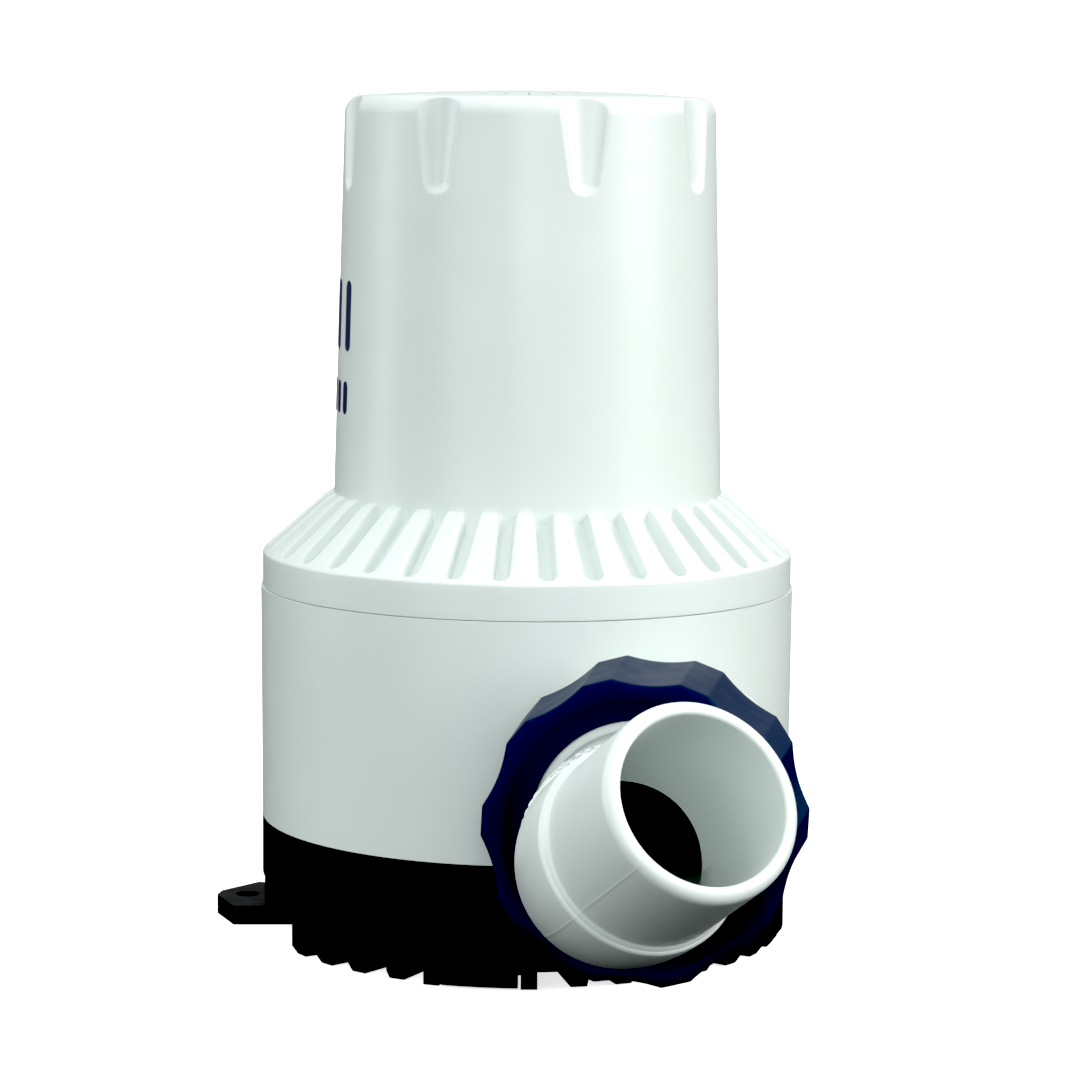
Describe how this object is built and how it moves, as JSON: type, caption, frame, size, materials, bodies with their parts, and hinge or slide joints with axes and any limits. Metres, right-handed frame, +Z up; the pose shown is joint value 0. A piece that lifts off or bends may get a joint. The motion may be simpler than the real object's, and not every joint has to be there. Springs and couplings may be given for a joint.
{
  "type": "bilge pump",
  "caption": "Submersible bilge pump with a strainer base, ribbed motor housing and a swivelling angled hose spigot held by a lobed union nut.",
  "frame": {"origin": "centre of the base on the surface it stands on, on the pump's own axis", "axes": "+Z up along the motor shaft, -Y along the outlet port away from the pump, +X towards the side the port is offset to"},
  "size_m": [0.141, 0.217, 0.1835],
  "materials": {
    "white_plastic": "white moulded ABS, semi gloss",
    "black_plastic": "black moulded plastic, satin",
    "blue_plastic": "navy blue moulded plastic, fine grained",
    "impeller_plastic": "glass filled nylon",
    "washer_plastic": "acetal",
    "rubber": "black nitrile",
    "stainless": "stainless steel",
    "motor_steel": "zinc plated steel",
    "bronze": "sintered bronze and brass",
    "copper": "enamelled copper",
    "ferrite": "ferrite magnet",
    "carbon": "carbon graphite",
    "label_ink": "printed dark blue ink"
  },
  "bodies": {
    "pump": {"strainer_base": "black_plastic", "pump_body": "white_plastic", "bulkhead": "white_plastic", "housing_seal": "rubber", "motor_housing": "white_plastic", "housing_screws": "stainless", "label_print": "label_ink", "gland_body": "white_plastic", "gland_seal": "rubber", "gland_cap": "white_plastic", "elbow_seal": "rubber", "shaft_seals": "rubber", "lower_bearing": "stainless", "upper_bearing": "bronze", "motor_can": "motor_steel", "magnet_left": "ferrite", "magnet_right": "ferrite", "end_bell": "impeller_plastic", "brush_left": "carbon", "brush_right": "carbon", "brush_spring_left": "stainless", "brush_spring_right": "stainless", "motor_terminals": "bronze", "motor_cushion": "rubber"},
    "rotor": {"impeller": "impeller_plastic", "impeller_nut": "stainless", "thrust_washer": "washer_plastic", "motor_shaft": "stainless", "armature_core": "motor_steel", "armature_windings": "copper", "commutator": "copper"},
    "nut": {"union_nut": "blue_plastic"},
    "elbow": {"discharge_elbow": "white_plastic"},
    "front_tab": {"front_release_tab": "black_plastic"},
    "rear_tab": {"rear_release_tab": "black_plastic"}
  },
  "joints": [
    {"name": "rotor_spin", "type": "hinge", "parent": "pump", "child": "rotor", "pos_m": [0, 0, 0.1], "axis": [0, 0, 1], "continuous": true},
    {"name": "nut_turn", "type": "hinge", "parent": "pump", "child": "nut", "pos_m": [0.0358, -0.07, 0.0395], "axis": [0, -1, 0], "range_deg": [0, 540]},
    {"name": "elbow_swivel", "type": "hinge", "parent": "pump", "child": "elbow", "pos_m": [0.0358, -0.1, 0.0395], "axis": [0, -1, 0], "range_deg": [-100, 190]},
    {"name": "front_tab_release", "type": "hinge", "parent": "pump", "child": "front_tab", "pos_m": [0, -0.0547, 0.0035], "axis": [1, 0, 0], "range_deg": [0, 6], "stiffness_Nm_per_rad": 0.5},
    {"name": "rear_tab_release", "type": "hinge", "parent": "pump", "child": "rear_tab", "pos_m": [0, 0.0547, 0.0035], "axis": [-1, 0, 0], "range_deg": [0, 6], "stiffness_Nm_per_rad": 0.5}
  ]
}
